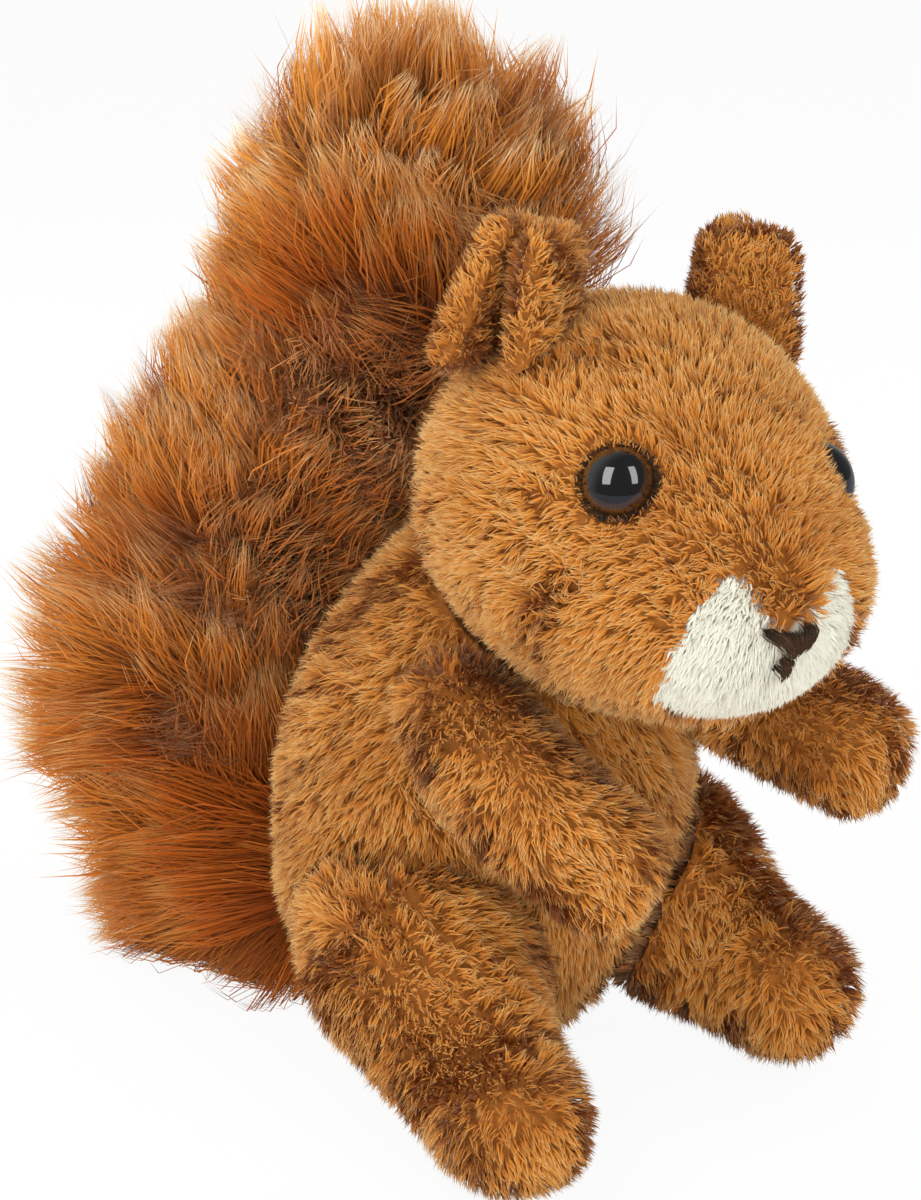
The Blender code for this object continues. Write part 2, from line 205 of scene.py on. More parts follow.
class Graph:
    """A node tree, all of whose nodes come from one method."""

    def __init__(self, tree):
        self.tree = tree

    def node(self, kind, settings=None, sockets=None, output=0):
        made = self.tree.nodes.new(kind)
        for setting, value in (settings or {}).items():
            if setting == "stops":
                ramp = made.color_ramp
                while len(ramp.elements) < len(value):
                    ramp.elements.new(0.5)
                for element, (place, colour) in zip(ramp.elements, value):
                    element.position = place
                    element.color = (*colour, 1)
            else:
                setattr(made, setting, value)
        for socket, value in (sockets or {}).items():
            self.join(value, made.inputs[socket])
        return Wire(self, made.outputs[output])

    def join(self, value, socket):
        if isinstance(value, Wire):
            self.tree.links.new(value.socket, socket)
        else:
            socket.default_value = value

    def ray(self, kind):
        return self.node("ShaderNodeLightPath", output=f"Is {kind} Ray")


class Looks(Graph):
    """A material and the nodes that it is built from."""

    def __init__(self, name, roughness, **sockets):
        self.material = bpy.data.materials.new(name)
        self.material.use_nodes = True
        super().__init__(self.material.node_tree)
        self.shader = self.tree.nodes["Principled BSDF"]
        self.shader.inputs["Roughness"].default_value = roughness
        for socket, value in sockets.items():
            title = socket.replace("_", " ").title().replace("Ior", "IOR")
            self.shader.inputs[title].default_value = value

    def feed(self, name, value):
        self.join(value, self.shader.inputs[name])

    def attribute(self, name):
        return self.node("ShaderNodeAttribute", {"attribute_name": name}, output="Fac")

    def place(self):
        return self.node("ShaderNodeTexCoord", output="Object")

    def ramp(self, factor, stops):
        return self.node("ShaderNodeValToRGB", {"stops": stops}, {"Fac": factor})

    def noise(self, place, scale, detail=2.0):
        return self.node("ShaderNodeTexNoise", sockets={"Vector": place, "Scale": scale, "Detail": detail})

    def mix(self, factor, a, b, blend="MIX"):
        settings = {"data_type": "RGBA", "blend_type": blend}
        return self.node("ShaderNodeMix", settings, {0: factor, 6: a, 7: b}, output=2)

    def bump(self, height, distance, strength=0.6):
        sockets = {"Height": height, "Distance": distance, "Strength": strength}
        self.feed("Normal", self.node("ShaderNodeBump", sockets=sockets))


def pile_material(name, stops, dark, light, roughness):
    """Pile that is darker at its roots, in tufts from a dark tint to a light one. The darker roots and paler
    tips are partly the pile's own colour and partly painted shade deep in the pile and painted light on the
    tips; the tints hold random tone and, in places, painted shade and painted rim light.
    """
    sheen = {"sheen_weight": 0.22, "sheen_roughness": 0.55, "sheen_tint": (1.0, 0.80, 0.50, 1.0)}
    looks = Looks(name, roughness, specular_ior_level=0.08, **sheen)
    base = looks.ramp(looks.attribute("along"), stops)
    tint = looks.ramp(looks.attribute("tint"), [(0.0, dark), (0.5, (1, 1, 1)), (1.0, light)])
    looks.feed("Base Color", looks.mix(1.0, base, tint, "MULTIPLY"))
    return looks.material


def skin_material(name, colour, white):
    """The knitted backing between the strands, mottled as the roots that stand on it are."""
    looks = Looks(name, 0.95)
    mottle = looks.noise(looks.place(), 450.0, 3.0)
    dark, lit = (tuple(level * part for part in colour) for level in (0.62, 0.95))
    pale = tuple(0.92 * part for part in white)
    brown = looks.ramp(mottle, [(0.35, dark), (0.7, lit)])
    panel = looks.ramp(mottle, [(0.35, pale), (0.7, white)])
    looks.feed("Base Color", looks.mix(looks.attribute("white"), brown, panel))
    looks.bump(mottle, 0.0006)
    return looks.material


def deselect():
    for obj in bpy.context.selected_objects:
        obj.select_set(False)


def apply_modifier(obj, kind, **settings):
    deselect()
    obj.select_set(True)
    bpy.context.view_layer.objects.active = obj
    modifier = obj.modifiers.new(kind.lower(), kind)
    for setting, value in settings.items():
        setattr(modifier, setting, value)
    bpy.ops.object.modifier_apply(modifier=modifier.name)


def new_piece(name, mesh, material):
    obj = bpy.data.objects.new(name, mesh)
    bpy.context.scene.collection.objects.link(obj)
    mesh.materials.append(material)
    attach(obj, ROOT)
    return obj


def triangle_mesh(name, points, triangles):
    mesh = bpy.data.meshes.new(name)
    mesh.vertices.add(len(points))
    mesh.vertices.foreach_set("co", np.asarray(points, np.float32).ravel())
    mesh.loops.add(triangles.size)
    mesh.loops.foreach_set("vertex_index", np.asarray(triangles, np.int32).ravel())
    mesh.polygons.add(len(triangles))
    mesh.polygons.foreach_set("loop_start", np.arange(0, triangles.size, 3, dtype=np.int32))
    mesh.update(calc_edges=True)
    return mesh


def set_attribute(mesh, name, values):
    """Gives each vertex a value that materials can read."""
    mesh.attributes.new(name, "FLOAT", "POINT").data.foreach_set("value", values.astype(np.float32))


class Skin:
    """A stuffed skin's surface, from which pile grows."""

    def __init__(self, mesh, depth):
        mesh.calc_loop_triangles()
        self.depth = depth
        self.shell = read_vectors(mesh.vertices)
        self.triangles = np.empty(len(mesh.loop_triangles) * 3, np.int32)
        mesh.loop_triangles.foreach_get("vertices", self.triangles)
        self.triangles = self.triangles.reshape(-1, 3)
        self.normals = read_vectors(mesh.vertex_normals, "vector")
        self.tree = BVHTree.FromPolygons(self.shell.tolist(), self.triangles.tolist())
        self.low = self.shell.min(0)
        self.high = self.shell.max(0)
        self.points = self.shell

    def sink(self, mesh):
        """Takes the points of the skin once it lies under its pile."""
        self.points = read_vectors(mesh.vertices)

    def gap(self, point):
        """How far a point lies outside the skin, which lies its depth under the shell, and the way out."""
        place, _, index, distance = self.tree.find_nearest(point)
        corners = self.triangles[index]
        weights = 1 / (np.linalg.norm(self.shell[corners] - np.array(place), axis=1) + 1e-6)
        normal = unit(weights @ self.normals[corners])
        inside = (np.asarray(point) - np.array(place)) @ normal < 0
        return (-distance if inside else distance) + self.depth, normal

    def near(self, other, margin):
        return bool((self.low < other.high + margin).all() and (self.high > other.low - margin).all())

    def clearance(self, others, far):
        """For each of the skin's points, how far it lies outside its neighbours, up to far."""
        gaps = np.full(len(self.points), far)
        for other in others:
            for index in np.flatnonzero(within(self.points, other.low, other.high, far)):
                gaps[index] = min(gaps[index], other.gap(self.points[index])[0])
        return gaps

    def areas(self):
        first, second, third = (self.points[self.triangles[:, corner]] for corner in range(3))
        return np.linalg.norm(np.cross(second - first, third - first), axis=1) / 2

    def scatter(self, rng, spacing, *fields):
        """Places about a spacing apart all over the skin: their points, normals and the fields there."""
        areas = self.areas()
        count = int(areas.sum() / spacing**2)
        level = (np.arange(count) + rng.random(count)) / count * areas.sum()
        chosen = np.minimum(np.searchsorted(np.cumsum(areas), level), len(areas) - 1)
        first = np.sqrt(rng.random((count, 1)))
        second = rng.random((count, 1))
        weights = np.concatenate([1 - first, first * (1 - second), first * second], axis=1)[:, :, None]

        def blend(values):
            return (values[self.triangles[chosen]] * weights).sum(1)

        found = [blend(self.points), unit(blend(self.normals))]
        return found + [blend(field[:, None])[:, 0] for field in fields]


def push_out(points, skins, margin, chosen):
    """Moves the chosen strand points that lie within a margin of a neighbour's skin out of it."""
    for skin in skins:
        close = within(points, skin.low, skin.high, margin)
        for index in zip(*np.nonzero(close & chosen)):
            distance, normal = skin.gap(points[index])
            if distance < margin:
                points[index] += (margin - distance) * normal


def grow(name, strands, outward, softness, material):
    """A piece of pile: each strand is a ribbon that follows its path from a fine root to a fine tip.

    Its normals lie between its own and the way out of the pile, because light spreads in real pile.
    """
    paths, sides, widths, tint = strands
    count, steps, _ = paths.shape
    level = np.linspace(0, 1, steps)
    ways = unit(np.gradient(paths, axis=1))
    facing = dot(np.cross(ways[:, 1], sides), outward)
    sides = np.where(facing < 0, -sides, sides)
    half = sides[:, None, :] * widths[:, None, None] / 2
    left = paths[:, 1:-1] - half
    right = paths[:, 1:-1] + half
    points = np.concatenate([paths[:, :1], left, right, paths[:, -1:]], axis=1)
    own = np.cross(ways, sides[:, None, :])
    own = np.concatenate([own[:, :1], own[:, 1:-1], own[:, 1:-1], own[:, -1:]], axis=1)
    normals = unit(outward[:, None, :] * softness + unit(own) * (1 - softness))
    pairs = steps - 2
    faces = [(0, 1, 1 + pairs)]
    for i in range(1, pairs):
        faces += [(i, i + 1, i + pairs + 1), (i, i + pairs + 1, i + pairs)]
    faces.append((pairs, 2 * pairs + 1, 2 * pairs))
    triangles = np.array(faces)[None] + np.arange(count)[:, None, None] * (2 * pairs + 2)
    along = np.tile(np.concatenate([[0], level[1:-1], level[1:-1], [1]]), count)
    tints = np.repeat(tint, 2 * pairs + 2)
    mesh = triangle_mesh(name, points.reshape(-1, 3), triangles.reshape(-1, 3))
    for attribute, values in (("along", along), ("tint", tints)):
        set_attribute(mesh, attribute, values)
    corners = triangles.ravel()
    bake = mesh.uv_layers.new(name="OFBake")
    bake.data.foreach_set("uv", np.stack([tints[corners], along[corners]], axis=1).astype(np.float32).ravel())
    mesh.shade_smooth()
    mesh.normals_split_custom_set_from_vertices(normals.reshape(-1, 3))
    return new_piece(name, mesh, material)


def sideways(rng, way, outward, spread, strands=1):
    """The flat direction of each ribbon, turned at random about the strand, much the same in one tuft."""
    across = unit(np.cross(way, outward))
    upright = unit(np.cross(across, way))
    turn = np.repeat(rng.uniform(-spread, spread, (len(way) // strands, 1)), strands, axis=0)
    turn = turn + rng.uniform(-0.3, 0.3, (len(way), 1)) * spread
    return across * np.cos(turn) + upright * np.sin(turn)


def short_strands(rng, roots, normals, lie, lengths, tints, settings):
    """Tufts of short pile that rise from the skin, bend over with the flow and close to a point.

    The lie holds the flow, how strongly it drives each tuft, its lean, and how far tufts close.
    """
    flow, drive, lean, close = lie
    strands = settings.tuft_strands
    tilt = unit(normals + rng.normal(size=normals.shape) * 0.16)
    count = len(roots) * strands
    rows = (roots, normals, flow, tilt, drive)
    roots, normals, flow, tilt, drive = (np.repeat(a, strands, axis=0) for a in rows)
    lengths, tints = np.repeat(lengths, strands), np.repeat(tints, strands)
    lengths = lengths * rng.uniform(0.78, 1.08, count)
    across = np.cross(normals, flow)
    spread = rng.normal(size=(count, 2)) * settings.tuft_spread
    offset = flow * spread[:, :1] + across * spread[:, 1:]
    lean = lean * (0.25 + 0.75 * drive) + rng.normal(size=(count, 1)) * settings.lean_spread
    way = flow * np.sin(lean) + normals * np.cos(lean)
    rise = unit(way + normals * 0.9)
    starts = roots + offset
    middles = starts + rise * lengths[:, None] * 0.5 + offset * 0.1
    stray = rng.normal(size=(count, 3)) * settings.stray
    ends = middles + unit(way * 1.25 - rise * 0.25) * lengths[:, None] * 0.55 - offset * close + stray
    paths = np.stack([starts, middles, ends], axis=1)
    sides = sideways(rng, ends - starts, normals, math.radians(38), strands)
    widths = settings.strand_width * rng.uniform(0.75, 1.25, count)
    return [paths, sides, widths, np.clip(tints + rng.normal(size=count) * 0.02, 0, 1)], tilt


class Anatomy:
    """Where the features lie that the pile is combed around."""

    def __init__(self):
        self.nose = middle_of("nose")
        self.mouth = middle_of("mouth_stitch")
        self.eyes = {side: self.eye(side) for side in SIDES}
        self.hips = {}
        self.tips = {}
        for side, sign in (("left", 1), ("right", -1)):
            low, high = box_of(f"leg_{side}")
            outer = low[0] if sign < 0 else high[0]
            haunch = np.array([outer, high[1], high[2]])
            self.hips[side] = haunch + (low - high) * np.array([0.30 * -sign, 0.38, 0.06])
            self.tips[f"leg_{side}"] = np.array([outer, low[1], low[2]])
            low, high = box_of(f"arm_{side}")
            self.tips[f"arm_{side}"] = np.array([(low[0] + high[0]) / 2, low[1], low[2]])

    def eye(self, side):
        """The top of an eye's dome, the eye's axis and its radius."""
        points = points_of(f"eye_{side}")
        middle = points.mean(0)
        axis = unit(middle - middle_of(f"eye_washer_{side}"))
        out = (points - middle) @ axis
        radial = np.linalg.norm(points - middle - out[:, None] * axis, axis=1)
        return middle + axis * out.max(), axis, radial.max()

    def flow(self, name, points):
        """The way in which the pile of a piece is combed at these points."""
        if name == "head":
            return unit(points - self.nose) + DOWN * 0.5
        if name == "body":
            return DOWN + points * LEVEL / 0.08
        limb, _, side = name.partition("_")
        low, high = box_of(name)
        if limb == "arm":
            shoulder = np.array([(low[0] + high[0]) / 2, high[1], high[2]])
            return np.tile(unit(self.tips[name] - shoulder) + DOWN * 0.25, (len(points), 1))
        if limb == "ear":
            return -DOWN + (points - (low + high) / 2) * LEVEL / 0.012
        whorl_radius = 0.020
        from_whorl = points - self.hips[side]
        near = np.exp(-((np.linalg.norm(from_whorl, axis=1, keepdims=True) / whorl_radius) ** 2))
        forward = unit(self.tips[name] - self.hips[side])
        return unit(from_whorl) * (0.35 + near) + forward * (1 - near) * 0.8

    def around_eyes(self, points):
        """How far each point lies from the rim of the nearest eye, and the way from it."""
        far = 1.0
        behind = 0.009  # past this depth a point lies behind the eye
        rim = np.full(len(points), far)
        away = np.zeros_like(points)
        for top, axis, radius in self.eyes.values():
            offset = points - top
            radial = offset - (offset @ axis)[:, None] * axis
            distance = np.linalg.norm(radial, axis=1) - radius
            distance = np.where(np.abs(offset @ axis) > behind, far, distance)
            nearer = distance < rim
            rim[nearer] = distance[nearer]
            away[nearer] = unit(radial)[nearer]
        return rim, away


def length_property(name, description, default):
    return FloatProperty(name=name, description=description, default=default, unit="LENGTH")


def angle_property(name, description, default):
    return FloatProperty(name=name, description=description, default=default, subtype="ANGLE")


def count_property(name, description, default):
    return IntProperty(name=name, description=description, default=default)


def colour_property(name, description, default):
    return FloatVectorProperty(name=name, description=description, default=default, subtype="COLOR")


class PlushSizes(bpy.types.PropertyGroup):
    """Sizes and colours of the plush that a user would change."""

    pile_length: length_property("Pile length", "Length of the short pile", 0.0036)
    strand_width: length_property("Strand width", "Width of a short strand", 0.00029)
    tuft_spacing: length_property("Tuft spacing", "Distance between two tufts", 0.00090)
    tuft_strands: count_property("Tuft strands", "Strands in a tuft of short pile", 5)
    tuft_spread: length_property("Tuft spread", "How far the roots of a tuft spread", 0.00037)
    stray: length_property("Stray", "How far tips stray", 0.00010)
    lean: angle_property("Lean", "From upright to the lie of the pile", 0.66)
    lean_spread: angle_property("Lean spread", "How much the lean varies", 0.12)
    tail_length: length_property("Tail pile length", "Length of the tail's pile", 0.0250)
    tail_width: length_property("Tail strand width", "Width of a tail strand", 0.00021)
    tail_tufts: count_property("Tail tufts", "Tufts on the tail", 1860)
    tail_strands: count_property("Tail strands", "Strands in a tuft of the tail", 56)
    brown: colour_property("Brown", "Middle of the short pile", (0.53, 0.190, 0.028))
    roots: colour_property("Roots", "Roots of the short pile", (0.46, 0.112, 0.009))
    tips: colour_property("Tips", "Tips of the short pile", (0.70, 0.465, 0.180))
    tail_roots: colour_property("Tail roots", "Roots of the long pile", (0.34, 0.065, 0.005))
    tail_brown: colour_property("Tail brown", "Middle of the long pile", (0.54, 0.174, 0.019))
    tail_tips: colour_property("Tail tips", "Tips of the long pile", (0.80, 0.59, 0.29))
    white: colour_property("White", "Pile of the muzzle", (0.76, 0.74, 0.62))


# The skins that the first step makes, which the later steps grow pile from
SKINS = {}


def solid_tree(node):
    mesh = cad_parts[node].data
    mesh.calc_loop_triangles()
    faces = [list(triangle.vertices) for triangle in mesh.loop_triangles]
    return BVHTree.FromPolygons([v.co[:] for v in mesh.vertices], faces)


def panel_trees():
    return [solid_tree(f"muzzle_{side}") for side in SIDES]


def on_panel(points, tree, reach=0.0009):
    return np.array([tree.find_nearest(Vector(p), reach)[0] is not None for p in points])


def whiten(skin, panels, shell):
    """Marks where a skin's backing is white."""
    white = np.zeros(len(shell))
    for tree in panels:
        white[on_panel(shell, tree)] = 1
    set_attribute(skin.data, "white", white)


def shade(base, level):
    """A lit or shaded copy of a colour, for painted light and shade: it gets redder in the shade and paler in
    the light, as dyed pile looks.
    """
    powers = (1.0, 1.35, 1.75)
    return tuple(min(part * level**power, 1.0) for part, power in zip(base, powers))


class SQUIRREL_OT_skins(bpy.types.Operator):
    """Makes the stuffed skins under the pile from the frame's soft solids"""

    bl_idname = "squirrel.skins"
    bl_label = "Stuffed skins"

    def execute(self, context):
        sizes = context.scene.plush_sizes
        # Painted shade: the backing under the pile is a slightly shaded copy of the brown and of the white,
        # partly its own colour
        backing = skin_material("brown_backing", shade(sizes.brown, 0.88), shade(sizes.white, 0.97))
        panels = panel_trees()
        for name, kind in STUFFED.items():
            built = bmesh.new()
            for node in kind["nodes"]:
                built.from_mesh(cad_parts[node].data)
            bmesh.ops.remove_doubles(built, verts=built.verts, dist=1e-6)
            mesh = bpy.data.meshes.new(f"{name}_skin")
            built.to_mesh(mesh)
            built.free()
            skin = new_piece(f"{name}_skin", mesh, backing)
            depth = kind["depth"] * MILLIMETRE
            if name == "head":
                # Swells the head and its two panels until they make one skin
                apply_modifier(skin, "DISPLACE", strength=2 * CLEARANCE, mid_level=0.0)
            apply_modifier(skin, "REMESH", mode="VOXEL", voxel_size=kind["voxel"] * MILLIMETRE)
            apply_modifier(skin, "SMOOTH", factor=0.5, iterations=kind["smooth"])
            SKINS[name] = Skin(skin.data, depth)
            apply_modifier(skin, "DISPLACE", strength=-depth, mid_level=0.0)
            apply_modifier(skin, "SMOOTH", factor=0.5, iterations=kind["smooth"])
            SKINS[name].sink(skin.data)
            whiten(skin, panels if name == "head" else [], SKINS[name].shell)
            skin.data.shade_smooth()
            nodes = kind["nodes"] if name != "head" else ["head"]
            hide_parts(*nodes)
        SKINS["tail"] = self.tail_core()
        return {"FINISHED"}

    def tail_core(self):
        """The stuffed core that the tail's long pile grows from."""
        low, high = box_of("tail")
        route = bpy.data.curves.new("tail_route", "CURVE")
        route.dimensions = "3D"
        spline = route.splines.new("BEZIER")
        spline.bezier_points.add(len(TAIL_ROUTE) - 1)
        for point, share, radius in zip(spline.bezier_points, TAIL_ROUTE, TAIL_CORE):
            point.co = low + (high - low) * np.array(share)
            point.handle_left_type = point.handle_right_type = "AUTO"
            point.radius = radius * MILLIMETRE
        route.bevel_depth = 1.0
        route.bevel_resolution = 6
        route.resolution_u = 8
        route.use_fill_caps = True
        holder = bpy.data.objects.new("tail_route", route)
        bpy.context.scene.collection.objects.link(holder)
        bpy.context.view_layer.update()
        evaluated = holder.evaluated_get(bpy.context.evaluated_depsgraph_get())
        mesh = bpy.data.meshes.new_from_object(evaluated)
        bpy.data.objects.remove(holder)
        mesh.name = "tail_skin"
        mesh.materials.clear()
        sizes = bpy.context.scene.plush_sizes
        # Painted shade: the tail's backing is a slightly shaded copy of its brown, partly its own colour
        backing = skin_material("tail_backing", shade(sizes.tail_brown, 0.84), shade(sizes.white, 0.72))
        skin = new_piece("tail_skin", mesh, backing)
        apply_modifier(skin, "REMESH", mode="VOXEL", voxel_size=2 * MILLIMETRE)
        apply_modifier(skin, "SMOOTH", factor=0.5, iterations=10)
        skin.data.shade_smooth()
        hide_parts("tail")
        whiten(skin, [], read_vectors(skin.data.vertices))
        return Skin(skin.data, 0.0)


class SQUIRREL_OT_short_pile(bpy.types.Operator):
    """Grows the short pile of the body, head, limbs, ears and muzzle"""

    bl_idname = "squirrel.short_pile"
    bl_label = "Short pile"

    def execute(self, context):
        sizes = context.scene.plush_sizes
        anatomy = Anatomy()
        panels = panel_trees()
        brown_pile, white_pile = self.materials(sizes)
        swirl, fine_swirl, patches = Swirl(11, 0.017), Swirl(12, 0.005), Swirl(13, 0.018)
        for number, (name, kind) in enumerate(STUFFED.items()):
            rng = np.random.default_rng(100 + number)
            skin = SKINS[name]
            rest = [other for key, other in SKINS.items() if key not in (name, "tail")]
            others = [other for other in rest if skin.near(other, NEAR_GAP)]
            spacing = sizes.tuft_spacing / math.sqrt(kind["density"])
            roots, normals, gap = skin.scatter(rng, spacing, skin.clearance(others, NEAR_GAP))
            crowded = 1 - smoothstep(gap, *THIN_GAPS)
            keep = (gap > BARE_GAP) & (rng.random(len(gap)) > 0.7 * crowded)
            rim, from_eye = anatomy.around_eyes(roots)
            if name == "head":
                self.white_muzzle(skin, anatomy, panels, white_pile, sizes)
                keep &= (rim > EYE_RIM) & ~self.on_nose(roots)
                surface = roots + normals * skin.depth
                for tree in panels:
                    keep &= ~on_panel(surface, tree)
            rows = (roots, normals, gap, rim, from_eye)
            roots, normals, gap, rim, from_eye = (values[keep] for values in rows)
            flow = unit(anatomy.flow(name, roots)) + swirl(roots) * 0.40 + fine_swirl(roots) * 0.28
            flow += rng.normal(size=flow.shape) * 0.22
            near_eye = 1 - smoothstep(rim, 0.0, EYE_REACH)[:, None]
            flow = flow * (1 - near_eye) + from_eye * near_eye * 1.5
            flow -= dot(flow, normals) * normals
            drive = smoothstep(np.linalg.norm(flow, axis=1, keepdims=True), 0.05, 0.55)
            lengths = np.full(len(roots), sizes.pile_length * kind["length"])
            lengths *= 1 + 0.12 * patches(roots)[:, 0].clip(-1.5, 1.5)
            lengths *= 1 - 0.45 * near_eye[:, 0]
            lengths *= 0.8 + 0.2 * smoothstep(gap, *SHORT_GAPS)
            tints = 0.52 + 0.17 * patches(roots)[:, 1] + rng.normal(size=len(roots)) * 0.07
            # Painted shade: tufts are darker where another piece's skin is near, in the creases between parts
            # Painted shade: tufts are darker where the flow drives them weakly, at whorls where the pile
            # stands upright
            tints -= 0.20 * (1 - smoothstep(gap, *PAINTED_SHADE_GAPS)) + 0.20 * (1 - drive[:, 0])
            lie = (unit(flow), drive, sizes.lean, 0.75)
            made, outward = short_strands(rng, roots, normals, lie, lengths, tints, sizes)
            chosen = np.repeat(np.repeat(gap < TIGHT_GAP, sizes.tuft_strands)[:, None], 3, axis=1)
            chosen[:, 0] = False
            push_out(made[0], others, CLEARANCE, chosen)
            np.maximum(made[0][..., 2], SHORT_PILE_LIFT, out=made[0][..., 2])
            grow(f"{name}_pile", made, outward, BROWN_SOFTNESS, brown_pile)
        return {"FINISHED"}

    def materials(self, sizes):
        brown, white = sizes.brown, sizes.white
        # Along each strand: darker, redder roots and paler tips, partly the pile's own colour and partly
        # painted shade deep in the pile and painted light on the tips
        lower, upper = shade(brown, 0.86), shade(brown, 1.10)
        stops = [(0.0, sizes.roots), (0.35, lower), (0.75, upper), (1.0, sizes.tips)]
        brown_pile = pile_material("brown_pile", stops, (0.62, 0.42, 0.24), (1.08, 1.17, 1.35), 0.6)
        # The white pile too: darker roots and paler tips, partly its own colour and partly painted shade deep
        # in the pile and painted light on the tips
        stops = [(0.0, shade(white, 0.86)), (0.5, shade(white, 0.98)), (1.0, shade(white, 1.05))]
        return brown_pile, pile_material("white_pile", stops, (0.32, 0.20, 0.12), (1.02, 1.02, 1.02), 0.7)

    def on_nose(self, points):
        """Which points lie under the V of the nose, in shares of its box."""
        low, high = box_of("nose")
        across = (points[:, 0] - low[0]) / (high[0] - low[0])
        height = (points[:, 2] - low[2]) / (high[2] - low[2])
        tip = 0.44
        under = np.abs(across - tip) / np.where(across < tip, tip, 1 - tip)
        over = 1 - 0.10 * (1 - np.abs(2 * across - 1))
        near = np.abs(points[:, 1] - (low[1] + high[1]) / 2) < 0.006
        return near & (across > 0.16) & (across < 1.0) & (height > under * 0.85 + 0.05) & (height < over)

    def white_muzzle(self, skin, anatomy, panels, material, sizes):
        """The white pile of the two panels of the muzzle, stained under the mouth."""
        margin = 0.004
        stain_radius = 0.0026
        for side, tree in zip(SIDES, panels):
            rng = np.random.default_rng(40 + len(side))
            roots, normals = skin.scatter(rng, sizes.tuft_spacing * 0.60)
            near = within(roots, *box_of(f"muzzle_{side}"), margin)
            roots, normals = roots[near], normals[near]
            keep = on_panel(roots + normals * skin.depth, tree) & ~self.on_nose(roots)
            roots, normals = roots[keep], normals[keep]
            down = np.array([0.0, -0.15, -1.0])
            flow = unit(roots - anatomy.nose) * 0.8 + down + rng.normal(size=roots.shape) * 0.14
            flow = unit(flow - dot(flow, normals) * normals)
            lengths = np.full(len(roots), sizes.pile_length * 0.66)
            stain = np.exp(-((np.linalg.norm(roots - anatomy.mouth, axis=1) / stain_radius) ** 2))
            tints = 0.72 + rng.normal(size=len(roots)) * 0.09 - 0.62 * stain
            lie = (flow, np.ones((len(roots), 1)), sizes.lean * 1.35, 0.3)
            made, outward = short_strands(rng, roots, normals, lie, lengths, tints, sizes)
            piece = grow(f"muzzle_{side}_pile", made, outward, WHITE_SOFTNESS, material)
            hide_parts(f"muzzle_{side}")


